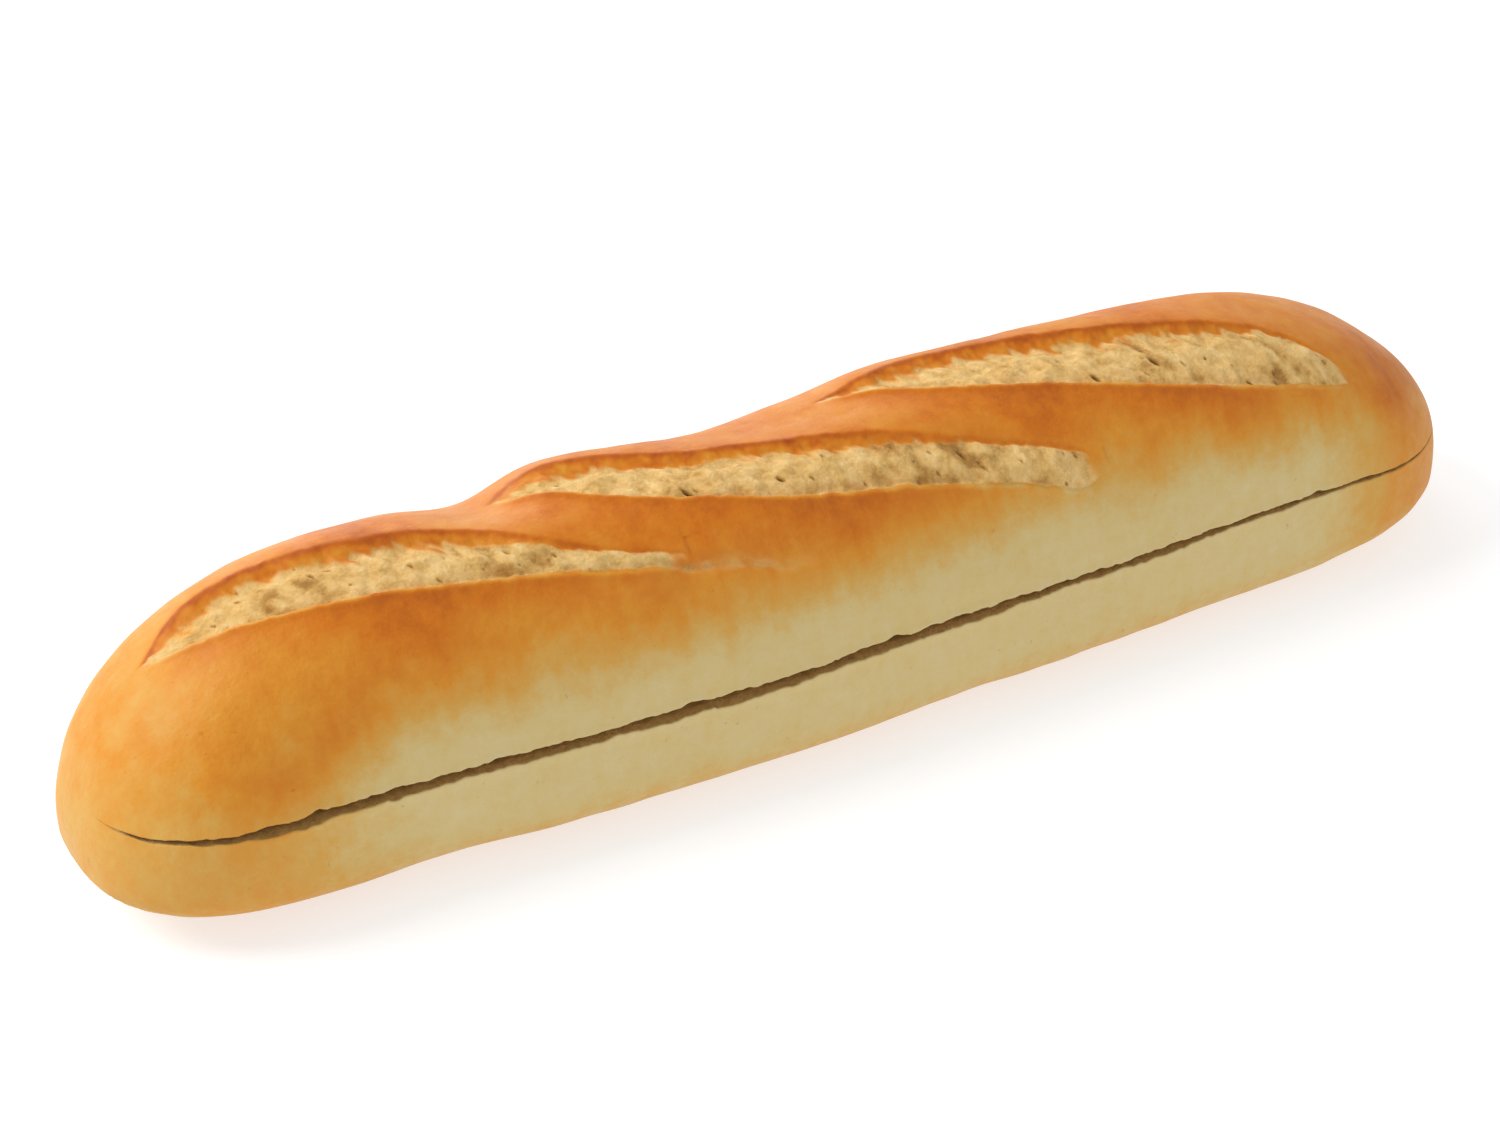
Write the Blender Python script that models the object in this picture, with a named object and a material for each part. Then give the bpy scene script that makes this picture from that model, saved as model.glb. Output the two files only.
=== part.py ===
"""A short sandwich baguette: one loaf with three slashes on top and a blade cut along its front.

Metres, +Z up. +X runs along the loaf, the cut side faces -Y, and the origin is under the middle
of the loaf, on the surface that it rests on. The loaf is a UV sphere whose poles are the two tips.
Each ring of the sphere becomes one cross-section, and each meridian one row along the loaf. The row
between the two edges of the blade cut is pushed inwards, to the line where the blade stopped.

Places on the crust are given as (x, arc): the distance along the loaf, and the distance measured
round the crust from the crown, negative on the front and positive on the back.
"""

import bmesh
import bpy
import numpy as np

# The whole loaf
LENGTH = 0.270
WIDTH = 0.060
HEIGHT = 0.0505  # to the crown, without the ears of the slashes
WAIST = 0.010  # height of the widest line, where the dome meets the base
DOME_POWER = 2.35  # superellipse powers of the cross-section, above and below the waist
BASE_POWER = 2.4
FLAT_HALF_WIDTH = 0.0155  # of the base, a true rectangle
FLAT_HALF_LENGTH = LENGTH / 8**0.5  # a ring of the mesh lies exactly here
END_LIFT_POWER = 0.6  # of the curve on which the underside rises from the flat to each tip
SLIMMING = 0.10  # share by which the body narrows from its middle to its ends

# Rounded ends, as (length of the rounding, superellipse power): first the -X end, then the +X end
PLAN_ENDS = ((0.030, 2.3), (0.031, 1.95))
SIDE_ENDS = ((0.053, 2.15), (0.063, 2.1))

# The blade cut
CUT_HEIGHT = 0.0215
CUT_GAP = 0.0024  # at the mouth, halfway along
CUT_HINGE_Y = -0.0075  # the blade stopped on this line, and the bread behind it holds the halves
CUT_SPAN = (-0.1315, 0.1305)
CUT_CLOSING = 0.045  # length over which the mouth narrows towards each end
CUT_FULLNESS = 0.6  # power of that narrowing, below 1 to keep the mouth open for longer

# The slashes. Each is an almond from start to end, both given as (x, arc). bow bends its centre
# line towards the back, blunt below 1 fills out its ends, and skew below 1 moves its widest
# place towards the start
SLASHES = (
    dict(start=(-0.1165, 0.0017), end=(-0.0465, -0.0190), half_width=0.0073, bow=0.0040,
         blunt=0.66, skew=0.80),
    dict(start=(-0.0575, 0.0050), end=(0.0495, -0.0310), half_width=0.0075, bow=0.0009,
         blunt=0.83, skew=0.62),
    dict(start=(0.0035, 0.0078), end=(0.1050, -0.0194), half_width=0.0089, bow=0.0010,
         blunt=0.57, skew=1.26),
)
TAIL_END = (-0.015, -0.0290)  # the first slash runs on to here as a shallow scratch
TAIL_HALF_WIDTH = 0.0014
TAIL_DEPTH = 0.0006
TAIL_FADE_IN = (-0.2, 0.1)  # as shares of its length
TAIL_FADE_OUT = (1, 0.8)
EAR_RISE = 0.0016  # the crust lifted along the back edge of a slash
EAR_REACH = 0.010  # how far behind the slash the lift fades out
EAR_WALL = 0.0016  # run of the steep face under the ear
LIP_RISE = 0.0005
LIP_REACH = 0.004
LIP_WALL = 0.0016
CRUMB_DEPTH = 0.0021  # the torn crumb at its edges, under the plain dome
CRUMB_SWELL = 0.0018  # how far it rises again halfway across

# The mesh
STATIONS = 200
UNDER_ROWS = 12  # the middle of the base, then from the flat's edge to the cut's lower edge
FRONT_ROWS = (4, 34)  # from the cut's upper edge to the slashes, and on to the crown
BACK_ROWS = (16, 20)  # over the slashes' back edges, and on down to the flat's edge
FRONT_BREAK = 0.80  # where the row spacing changes, as a share of the way from the crown
BACK_BREAK = 0.17
OUTLINE_POINTS = 181  # in each quarter of the fine cross-section that rows are measured on
FLAT_POINTS = 60  # of that section, over half of the base's flat
SAME_POINT = 1e-5
KEPT_SHARE = 0.27  # of the faces, once the plain crust has been thinned out

CRUST_COLOUR = (0.62, 0.33, 0.10, 1)
CRUST_ROUGHNESS = 0.6


def smooth_step(low, high, value):
    """0 before low, 1 after high, and a smooth rise between them. low may be above high."""
    share = np.clip((value - low) / (high - low), 0, 1)
    return share * share * (3 - 2 * share)


def rounded(x, ends):
    """1 along the body, falling to 0 at each tip on a superellipse."""
    from_tip = LENGTH / 2 - np.abs(x)
    left, right = ends
    reach = np.where(x < 0, left[0], right[0])
    power = np.where(x < 0, left[1], right[1])
    share = np.clip(1 - from_tip / reach, 0, 1)
    slimming = 1 - SLIMMING * (2 * x / LENGTH) ** 2
    return (1 - share**power) ** (1 / power) * slimming


def flat_width_share(x):
    """Width of the flat at x, as a share of the loaf's. It only narrows beyond the flat's ends."""
    body_x = np.clip(x, -FLAT_HALF_LENGTH, FLAT_HALF_LENGTH)
    return FLAT_HALF_WIDTH / (WIDTH / 2 * rounded(body_x, PLAN_ENDS))


def outline(x):
    """One fine cross-section: from the middle of the base, up the front, over the crown and down
    the back. Returns y, z and the arc from the crown of its points."""
    turn = np.linspace(0, np.pi / 2, OUTLINE_POINTS)
    rise, reach = np.sin(turn), np.cos(turn)
    half_width = WIDTH / 2 * rounded(x, PLAN_ENDS)
    side = rounded(x, SIDE_ENDS)
    past_flat = np.maximum(np.abs(x) - FLAT_HALF_LENGTH, 0) / (LENGTH / 2 - FLAT_HALF_LENGTH)
    lift = WAIST * (1 - (1 - past_flat) ** END_LIFT_POWER)
    flat_share = flat_width_share(x)
    from_flat = np.linspace(np.arcsin(flat_share ** (BASE_POWER / 2)), np.pi / 2, OUTLINE_POINTS)
    depth_share = (np.cos(from_flat) / np.cos(from_flat[0])) ** (2 / BASE_POWER)
    base_y = np.linspace(0, flat_share * half_width, FLAT_POINTS)
    corner_y = half_width * np.sin(from_flat) ** (2 / BASE_POWER)
    corner_z = WAIST - (WAIST - lift) * depth_share
    dome_y = half_width * reach ** (2 / DOME_POWER)
    dome_z = WAIST + (HEIGHT - WAIST) * side * rise ** (2 / DOME_POWER)
    y = -np.concatenate([base_y, corner_y[1:], dome_y[1:]])
    z = np.concatenate([np.full_like(base_y, lift), corner_z[1:], dome_z[1:]])
    y, z = np.concatenate([y, -y[-2::-1]]), np.concatenate([z, z[-2::-1]])
    arc = np.concatenate([[0], np.cumsum(np.hypot(np.diff(y), np.diff(z)))])
    return y, z, arc - arc[len(arc) // 2]


def cut_share(x):
    """How far down the front the blade cut lies, as a share of the way from crown to base."""
    y, z, arc = outline(np.clip(x, *CUT_SPAN))
    front = slice(len(arc) // 2 - OUTLINE_POINTS + 1, len(arc) // 2)
    return np.interp(CUT_HEIGHT, z[front], arc[front]) / arc[0]


def row_shares():
    """The rows over the loaf, as shares of the way from the crown: 0 to -1 down the front to the
    cut, and 0 to 1 down the back to the edge of the flat."""
    front = np.concatenate([
        np.linspace(-1, -FRONT_BREAK, FRONT_ROWS[0], endpoint=False),
        np.linspace(-FRONT_BREAK, 0, FRONT_ROWS[1], endpoint=False),
    ])
    back = np.concatenate([
        np.linspace(0, BACK_BREAK, BACK_ROWS[0], endpoint=False),
        np.linspace(BACK_BREAK, 1, BACK_ROWS[1]),
    ])
    return np.concatenate([front, back])


def slash_relief(x, arc):
    """Height of the crust over the plain dome, made by the slashes."""
    relief = tail_relief(x, arc)
    for slash in SLASHES:
        (x0, arc0), (x1, arc1) = slash["start"], slash["end"]
        along = (x - x0) / (x1 - x0)
        if not 0 < along < 1:
            continue
        opening = np.sin(np.pi * along ** slash["skew"]) ** slash["blunt"]
        half_width = slash["half_width"] * opening
        middle = arc0 + (arc1 - arc0) * along + slash["bow"] * np.sin(np.pi * along)
        back = arc - middle - half_width
        front = middle - half_width - arc
        ear = EAR_RISE * np.exp(-((back / EAR_REACH) ** 2))
        lip = LIP_RISE * np.exp(-((front / LIP_REACH) ** 2))
        across = np.clip((arc - middle) / half_width, -1, 1)
        crumb = CRUMB_SWELL * (1 - across**2) - CRUMB_DEPTH
        under_ear = smooth_step(-EAR_WALL, 0, back)
        under_lip = smooth_step(-LIP_WALL, 0, front)
        shape = crumb + (ear - crumb) * under_ear + (lip - crumb) * under_lip
        relief += opening * shape
    return relief


def tail_relief(x, arc):
    """The shallow scratch in which the first slash runs out."""
    (x0, arc0), (x1, arc1) = SLASHES[0]["end"], TAIL_END
    along = (x - x0) / (x1 - x0)
    strength = smooth_step(*TAIL_FADE_IN, along) * smooth_step(*TAIL_FADE_OUT, along)
    middle = arc0 + (arc1 - arc0) * along
    return -TAIL_DEPTH * strength * np.exp(-(((arc - middle) / TAIL_HALF_WIDTH) ** 2))


def dome_points(x, arcs):
    """Points at these arcs on the outline at x, moved out along its normal by the relief."""
    y, z, arc = outline(x)
    normal = np.stack([-np.gradient(z), np.gradient(y)])
    normal /= np.maximum(np.hypot(*normal), SAME_POINT)
    relief = slash_relief(x, arcs)
    py = np.interp(arcs, arc, y) + relief * np.interp(arcs, arc, normal[0])
    pz = np.interp(arcs, arc, z) + relief * np.interp(arcs, arc, normal[1])
    return np.stack([py, pz], axis=1)


def cut_gap(x):
    """Height of the cut's mouth at x: full along the body, and nothing at either end."""
    from_end = np.clip(min(x - CUT_SPAN[0], CUT_SPAN[1] - x) / CUT_CLOSING, 0, 1)
    return CUT_GAP * np.sin(np.pi / 2 * from_end) ** CUT_FULLNESS


def station(x, shares):
    """The closed loop of (y, z) points at x: the base's front half, the cut, and the dome."""
    arc = outline(x)[2]
    share = cut_share(x)
    cut_arc = arc[0] * share
    half_gap = cut_gap(x) / 2
    front_rim, back_rim = arc[FLAT_POINTS - 1], arc[-FLAT_POINTS]
    under = np.linspace(front_rim, cut_arc - half_gap, UNDER_ROWS - 1)
    under = np.concatenate([arc[:1], under])
    over = np.where(shares < 0, -shares * (cut_arc + half_gap), shares * back_rim)
    under_points, over_points = dome_points(x, under), dome_points(x, over)
    lower, upper = under_points[-1], over_points[0]
    mouth = (lower + upper) / 2
    hinge = np.array([max(CUT_HINGE_Y, mouth[0]) if half_gap > 0 else mouth[0], mouth[1]])
    return np.concatenate([under_points, hinge[None], over_points])


def make_loaf():
    """Reshapes a UV sphere, ring by ring, into the loaf."""
    shares = row_shares()
    rows = UNDER_ROWS + 1 + len(shares)
    cut_rows = range(UNDER_ROWS - 1, UNDER_ROWS + 2)
    flat_rows = (0, 1, rows - 1)
    stations = -LENGTH / 2 * np.cos(np.linspace(0, np.pi, STATIONS + 1))
    loops = [station(x, shares) for x in stations]

    mesh = bpy.data.meshes.new("loaf")
    shell = bmesh.new()
    bmesh.ops.create_uvsphere(shell, u_segments=rows, v_segments=STATIONS, radius=1)
    may_thin = shell.verts.layers.deform.verify()
    for vertex in shell.verts:
        x, y, z = vertex.co
        ring = round(np.arccos(np.clip(-z, -1, 1)) / np.pi * STATIONS)
        row = round(np.arctan2(y, x) / (2 * np.pi) * rows) % rows
        vertex.co = (stations[ring], *loops[ring][row])
        if row not in cut_rows and row not in flat_rows:
            vertex[may_thin][0] = 1
    bmesh.ops.remove_doubles(shell, verts=shell.verts, dist=SAME_POINT)
    bmesh.ops.recalc_face_normals(shell, faces=shell.faces)
    bmesh.ops.triangulate(shell, faces=shell.faces)
    centre_on_base(shell)
    shell.to_mesh(mesh)
    shell.free()
    mesh.shade_smooth()
    loaf = bpy.data.objects.new("loaf", mesh)
    thin_out(loaf)
    return loaf


def thin_out(loaf):
    """Drops vertices where the crust is plain, and keeps all on the blade cut and the flat."""
    loaf.vertex_groups.new(name="plain crust")
    fewer = loaf.modifiers.new("fewer faces", "DECIMATE")
    fewer.decimate_type = "COLLAPSE"
    fewer.ratio = KEPT_SHARE
    fewer.vertex_group = "plain crust"


def centre_on_base(shell):
    """Moves the loaf so that the middle of its box is over the origin and its base at z 0."""
    points = np.array([vertex.co for vertex in shell.verts])
    low, high = points.min(axis=0), points.max(axis=0)
    shift = (-(low[0] + high[0]) / 2, -(low[1] + high[1]) / 2, -low[2])
    bmesh.ops.translate(shell, verts=shell.verts, vec=shift)


def crust_material():
    material = bpy.data.materials.new("crust")
    material.use_nodes = True
    shader = material.node_tree.nodes["Principled BSDF"]
    shader.inputs["Base Color"].default_value = CRUST_COLOUR
    shader.inputs["Roughness"].default_value = CRUST_ROUGHNESS
    shader.inputs["Metallic"].default_value = 0
    return material


def main():
    for thing in list(bpy.data.objects):
        bpy.data.objects.remove(thing, do_unlink=True)
    collection = bpy.data.collections.new("baguette")
    bpy.context.scene.collection.children.link(collection)
    loaf = make_loaf()
    loaf.data.materials.append(crust_material())
    collection.objects.link(loaf)


main()
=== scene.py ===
import math

import bmesh
import bpy
import numpy as np
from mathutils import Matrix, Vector, noise


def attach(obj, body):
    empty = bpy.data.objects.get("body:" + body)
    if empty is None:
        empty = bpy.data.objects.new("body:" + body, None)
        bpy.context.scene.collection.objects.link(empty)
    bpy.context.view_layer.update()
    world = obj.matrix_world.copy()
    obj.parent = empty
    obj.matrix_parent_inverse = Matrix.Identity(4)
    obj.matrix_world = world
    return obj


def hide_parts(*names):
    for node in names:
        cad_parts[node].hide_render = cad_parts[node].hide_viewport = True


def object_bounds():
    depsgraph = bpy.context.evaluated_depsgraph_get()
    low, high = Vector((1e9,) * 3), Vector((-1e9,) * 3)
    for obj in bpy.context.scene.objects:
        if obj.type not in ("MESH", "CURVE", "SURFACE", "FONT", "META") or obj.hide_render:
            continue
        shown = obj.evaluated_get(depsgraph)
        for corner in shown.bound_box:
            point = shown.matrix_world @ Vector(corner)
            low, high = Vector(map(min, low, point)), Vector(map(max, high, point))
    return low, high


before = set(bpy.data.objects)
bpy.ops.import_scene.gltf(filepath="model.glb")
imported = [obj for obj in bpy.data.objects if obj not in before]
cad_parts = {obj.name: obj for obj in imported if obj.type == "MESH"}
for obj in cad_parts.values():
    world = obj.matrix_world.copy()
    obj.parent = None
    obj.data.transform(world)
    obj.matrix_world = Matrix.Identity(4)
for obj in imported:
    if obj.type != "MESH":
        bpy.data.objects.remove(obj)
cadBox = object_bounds()
noise.seed_set(7)

mm = 0.001

# The loaf's own shape, in mm. (x, arc) names a place on the crust: x runs along the loaf, and arc
# is measured round the crust from the crown, negative on the front
loaf = {
    "length": 270,
    "width": 60,
    "height": 50.5,
    "waist": 10,  # height of the widest line
    "domePower": 2.35,
    "basePower": 2.4,
    "flatWidth": 31,  # of the base, straight along the body
    "flatLength": 190.9,
    "endLift": 0.6,  # power of the rise from there to each tip
    "slimming": 0.10,
    "planEnds": ((30, 2.3), (31, 1.95)),  # length and fullness of each end, from above
    "sideEnds": ((53, 2.15), (63, 2.1)),  # and from the side
    "swell": 0.35,  # slow unevenness of the crust
    "ripple": 0.10,
    # how it differs from a straight loaf, each as (x, reach along x, size)
    "bend": (-100, 38, 2.6),
    "slimFront": (-75, 45, 0.035),
    "liftedFoot": (-70, 32, 0.5),
    "dips": ((-61, 9, 2.2), (-10, 20, 2.0)),
}

cut = {
    "height": 21.5,
    "fall": 1.6,  # how far the cut drops at its +X tip
    "gap": 1.9,
    "thinning": 0.45,  # share by which the gap is narrower towards +X
    "hinge": -7.5,  # y of the line where the blade stopped
    "span": (-132.5, 130.5),
    "closing": (30, 58),  # length over which the gap narrows at each tip
    "ragged": 0.34,
    "curl": 0.25,  # how far the edges of the mouth stand out
    # layers of noise, each as (size, amount, seed)
    "wallRelief": ((2.2, 0.3, 51), (0.9, 0.15, 52)),
    "wander": ((5.0, 0.8, 1), (1.7, 0.6, 2), (0.8, 0.35, 3)),
    "notchReach": 1.5,
    "notches": ((-102, 0.6), (-38, 0.4), (0, 0.6), (42, 0.35), (91, 0.3)),
}

# Each slash as (x, arc of its lifted back edge, arc of its front lip), from end to end
slashes = [
    {
        "edges": ((-119.5, 3.0, 2.2), (-111, 6.0, -3.0), (-99, 5.6, -7.8), (-86, 2.8, -11.0),
                  (-75, 0.6, -12.8), (-65, -2.8, -14.8), (-57, -8.4, -16.4), (-49, -13.2, -18.6),
                  (-41, -16.8, -21.0), (-33, -19.6, -22.2)),
        "rise": 1.5, "wall": 4.1, "depth": 1.5, "swell": 1.5, "fade": (0.55, 0.95),
        "pores": ((-61, 7), (-96, 6)), "seed": 3,
    },
    {
        "edges": ((-59, 6.4, 5.6), (-50, 9.4, 0.8), (-40, 7.6, -5.8), (-28, 2.6, -11.0),
                  (-14, -1.6, -15.8), (0, -6.2, -19.2), (13, -11.0, -21.6), (26, -15.8, -25.0),
                  (36, -19.4, -28.2), (42, -22.0, -29.4), (46.5, -25.6, -27.4)),
        "rise": 1.6, "wall": 4.6, "depth": 1.6, "swell": 1.7, "fade": (0.50, 0.86),
        "pores": ((-24, 6), (8, 8), (20, 9), (42, 9)), "seed": 11,
    },
    {
        "edges": ((3, 7.4, 6.6), (12, 7.8, 3.2), (26, 8.6, -3.6), (40, 6.4, -8.4),
                  (55, 2.8, -13.4), (70, -1.2, -17.8), (84, -5.4, -20.6), (95, -10.0, -21.6),
                  (101, -15.2, -21.6), (105, -19.2, -20.4)),
        "rise": 1.6, "wall": 4.1, "depth": 1.5, "swell": 1.6, "fade": (0.62, 0.97),
        "pores": ((64, 7), (88, 6), (100, 5)), "seed": 23,
    },
]
tail = {"start": (-38, -20.8), "end": (-10, -28.0), "halfWidth": 0.8, "depth": 0.8}

mesh = {
    "stations": 232,
    "under": (20, 5),  # rows from the middle of the base, and then beside the cut
    "cut": (0.03, 0.09, 0.2, 0.4, 0.68),  # places of rows on each wall, from mouth to hinge
    "front": (5, 37),
    "back": (15, 42),
    "beside": 0.06,  # share of the way to the base or the crown that the rows beside the cut take
    "backBreak": 0.18,
    "slashCuts": 3,
    "lipCuts": 1,
    "quarterPoints": 241,  # of the fine section that the rows are measured on
    "flatPoints": 60,
}


def smoothStep(low, high, value):
    share = np.clip((value - low) / (high - low), 0, 1)
    return share * share * (3 - 2 * share)


def curveThrough(places, values, x):
    # smooth curve through a few points, flat beyond both ends
    places, values = np.array(places, float), np.array(values, float)
    slopes = np.gradient(values, places)
    x = np.clip(x, places[0], places[-1])
    i = np.clip(np.searchsorted(places, x) - 1, 0, len(places) - 2)
    step = places[i + 1] - places[i]
    t = (x - places[i]) / step
    return (values[i] * (1 + 2 * t) * (1 - t) ** 2 + values[i + 1] * t * t * (3 - 2 * t)
            + step * slopes[i] * t * (1 - t) ** 2 + step * slopes[i + 1] * t * t * (t - 1))


def clouds(x, y, z, size, seed=0):
    # soft noise of that size, from about -1 to 1
    points = np.stack([x, y, z], axis=1) / size + seed * 17.3
    return np.array([noise.noise(p) for p in points.tolist()]) * 1.6


def layered(x, y, z, layers, seed=0):
    # several sizes of that noise together
    return sum(amount * clouds(x, y, z, size, seed + step) for size, amount, step in layers)


# --- plain loaf, as a superellipse section carried along x

def rounded(x, ends):
    fromTip = loaf["length"] / 2 - np.abs(x)
    (leftReach, leftPower), (rightReach, rightPower) = ends
    reach = np.where(x < 0, leftReach, rightReach)
    power = np.where(x < 0, leftPower, rightPower)
    share = np.clip(1 - fromTip / reach, 0, 1)
    return (1 - share**power) ** (1 / power) * (1 - loaf["slimming"] * (2 * x / loaf["length"]) ** 2)


def baseShape(x):
    # half width of the loaf, of its flat, and height of the flat
    reach = loaf["flatLength"] / 2
    past = np.maximum(np.abs(x) - reach, 0) / (loaf["length"] / 2 - reach)
    half = loaf["width"] / 2 * rounded(x, loaf["planEnds"])
    bodyHalf = loaf["width"] / 2 * rounded(np.clip(x, -reach, reach), loaf["planEnds"])
    lift = loaf["waist"] * (1 - (1 - past) ** loaf["endLift"])
    return half, loaf["flatWidth"] / 2 * half / bodyHalf, lift


def outline(x):
    # half a section from the middle of the base to the crown, then mirrored
    turn = np.linspace(0, np.pi / 2, mesh["quarterPoints"])
    rise, reach = np.sin(turn), np.cos(turn)
    half, flat, lift = baseShape(x)
    side = rounded(x, loaf["sideEnds"])
    power = loaf["basePower"]
    rim = np.arcsin((flat / max(half, 1e-9)) ** (power / 2))
    fromFlat = np.linspace(rim, np.pi / 2, mesh["quarterPoints"])
    depth = (np.cos(fromFlat) / np.cos(fromFlat[0])) ** (2 / power)
    baseY = np.linspace(0, flat, mesh["flatPoints"])
    cornerY = half * np.sin(fromFlat) ** (2 / power)
    cornerZ = loaf["waist"] - (loaf["waist"] - lift) * depth
    domeY = half * reach ** (2 / loaf["domePower"])
    domeZ = loaf["waist"] + (loaf["height"] - loaf["waist"]) * side * rise ** (2 / loaf["domePower"])
    y = -np.concatenate([baseY, cornerY[1:], domeY[1:]])
    z = np.concatenate([np.full_like(baseY, lift), cornerZ[1:], domeZ[1:]])
    y, z = np.concatenate([y, -y[-2::-1]]), np.concatenate([z, z[-2::-1]])
    arc = np.concatenate([[0], np.cumsum(np.hypot(np.diff(y), np.diff(z)))])
    return y, z, arc - arc[len(arc) // 2]


def onDome(x, arc):
    # points of the plain loaf at these places
    y, z = np.zeros_like(x), np.zeros_like(x)
    group = np.unique(np.round(x, 4), return_inverse=True)[1]
    order = np.argsort(group, kind="stable")
    for members in np.split(order, np.cumsum(np.bincount(group))[:-1]):
        ys, zs, arcs = outline(x[members[0]])
        y[members] = np.interp(arc[members], arcs, ys)
        z[members] = np.interp(arc[members], arcs, zs)
    return np.stack([x, y, z], axis=1)


def domeNormals(points):
    # outward directions, from how the plain loaf's own formula changes round each point
    def field(p):
        x, y, z = np.clip(p[:, 0], -134.99, 134.99), np.abs(p[:, 1]), p[:, 2] - loaf["waist"]
        half, flat, lift = baseShape(x)
        side = rounded(x, loaf["sideEnds"])
        power = loaf["basePower"]
        up = (np.abs(z) / ((loaf["height"] - loaf["waist"]) * side)) ** loaf["domePower"]
        up += (y / half) ** loaf["domePower"]
        full = (loaf["waist"] - lift) / (1 - (flat / half) ** power) ** (1 / power)
        return np.where(z > 0, up, (np.abs(z) / full) ** power + (y / half) ** power)

    step = 0.02
    slope = [field(points + step * axis) - field(points - step * axis) for axis in np.eye(3)]
    normals = np.stack(slope, axis=1)
    half, flat, lift = baseShape(points[:, 0])
    normals[(points[:, 2] < lift + 0.01) & (lift < 5)] = (0, 0, -1)
    tips = np.abs(points[:, 0]) > 134.9
    normals[tips] = np.sign(points[tips, :1]) * (1, 0, 0)
    return normals / np.linalg.norm(normals, axis=1)[:, None]


# --- the blade cut

def cutHeight(x):
    slow = 0.5 * np.sin(x / 31) + 0.25 * np.sin(x / 11 + 1)
    return cut["height"] + 0.5 * slow - cut["fall"] * smoothStep(95, 130, x)


def cutGap(x):
    left = (x - cut["span"][0]) / cut["closing"][0]
    right = (cut["span"][1] - x) / cut["closing"][1]
    share = np.clip(np.minimum(left, right), 0, 1)
    full = cut["gap"] * (1 - cut["thinning"] * smoothStep(-10, 110, x))
    return np.where(share > 0.02, full * np.sin(np.pi / 2 * share) ** 0.8, 0)


def cutRagged(x, side):
    # how far each edge of the mouth wanders out from its line
    flat = np.zeros_like(x)
    out = cut["ragged"] * layered(x, flat + side * 9, flat, cut["wander"])
    for place, size in cut["notches"]:
        out += size * np.exp(-(((x - place) / cut["notchReach"]) ** 2)) * (0.7 + 0.3 * side)
    return out * np.minimum(1, cutGap(x) / cut["gap"] * 1.2)


# --- the slashes

# Torn edges and crust of every slash, in mm. Layers of noise are given as (size, amount, seed)
tear = {
    "backWander": ((6, 0.35, 0), (1.6, 0.18, 0)),
    "lipWander": ((7, 0.30, 1), (1.8, 0.20, 1)),
    "fray": ((2.6, 0.26, 8), (1.1, 0.20, 9)),
    "earReach": (9, 4),  # how far the lifted crust fades out behind the edge, and into the slash
    "bead": 0.45,  # the lip's thin raised edge, and the wider swelling before it
    "beadReach": 0.9,
    "shoulder": 0.55,
    "shoulderReach": 5,
    "scorchShadowReach": 0.75,  # the dark line along the top of the wall: scorched crust and painted shadow of the overhanging ridge
    "lipHighlightReach": 0.6,  # the pale line along the lip, a painted highlight, and the browner crust below it
    "browned": 0.48,
    "brownedReach": 4.5,
}

# The crumb in every slash. Reliefs are given as (size, height), in mm
crumbForm = {
    "lumps": (4.4, 0.42),
    "knobs": (1.9, 0.22),
    "fibres": (1.9, 0.07),
    "threads": (0.95, 0.03),
    "grains": (0.75, 0.06),
    "pores": ((4.4, 1.0), (2.3, 0.6)),  # spacing, and depth as a share of the deepest
    "poreDepth": 0.8,
    "poreSize": (0.22, 0.20),  # of the smallest, and how much larger the largest is
    "poreShare": 0.22,  # how common they are, and how much more so in crowded places
    "crowding": 0.6,
    "crowdShadeSize": 3.2,  # size of the patches of painted shade there
}


def slashEdges(slash, x):
    places = [edge[0] for edge in slash["edges"]]
    back = curveThrough(places, [edge[1] for edge in slash["edges"]], x)
    lip = curveThrough(places, [edge[2] for edge in slash["edges"]], x)
    return places, back, lip


def slashField(slash, x, arc):
    # where each point lies in the slash: along and across it, and how far behind and before it
    places, back, lip = slashEdges(slash, x)
    flat = np.zeros_like(x)
    back += layered(x, flat, flat, tear["backWander"], slash["seed"])
    lip += layered(x, flat, flat, tear["lipWander"], slash["seed"])
    along = (x - places[0]) / (places[-1] - places[0])
    half = np.maximum((back - lip) / 2, 0.05)
    return {
        "along": along,
        "half": half,
        "behind": arc - back,
        "before": lip - arc,
        "across": (arc - (back + lip) / 2) / half,
        "in": (along > 0) & (along < 1),
    }


def poresAt(along, arc, crowd, seed):
    # how deep each point lies in a pore, as a share of the deepest
    pitAndShade = np.zeros_like(along)
    smallest, growth = crumbForm["poreSize"]
    for spacing, deep in crumbForm["pores"]:
        leaning = (along + 0.5 * arc) / spacing * 1.25
        spots = np.stack([leaning, arc / spacing * 0.62, np.zeros_like(along) + seed], axis=1)
        found = [noise.voronoi(p) for p in spots.tolist()]
        near = np.array([distances[0] for distances, points in found])
        luck = np.array([noise.cell(points[0] * 31.7) for distances, points in found])
        size = (smallest + growth * luck) * np.where(luck < crowd * 0.8, 1, 0)
        pitAndShade = np.maximum(pitAndShade, deep * smoothStep(1, 0.25, near / np.maximum(size, 0.01)))
    return pitAndShade


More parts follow.
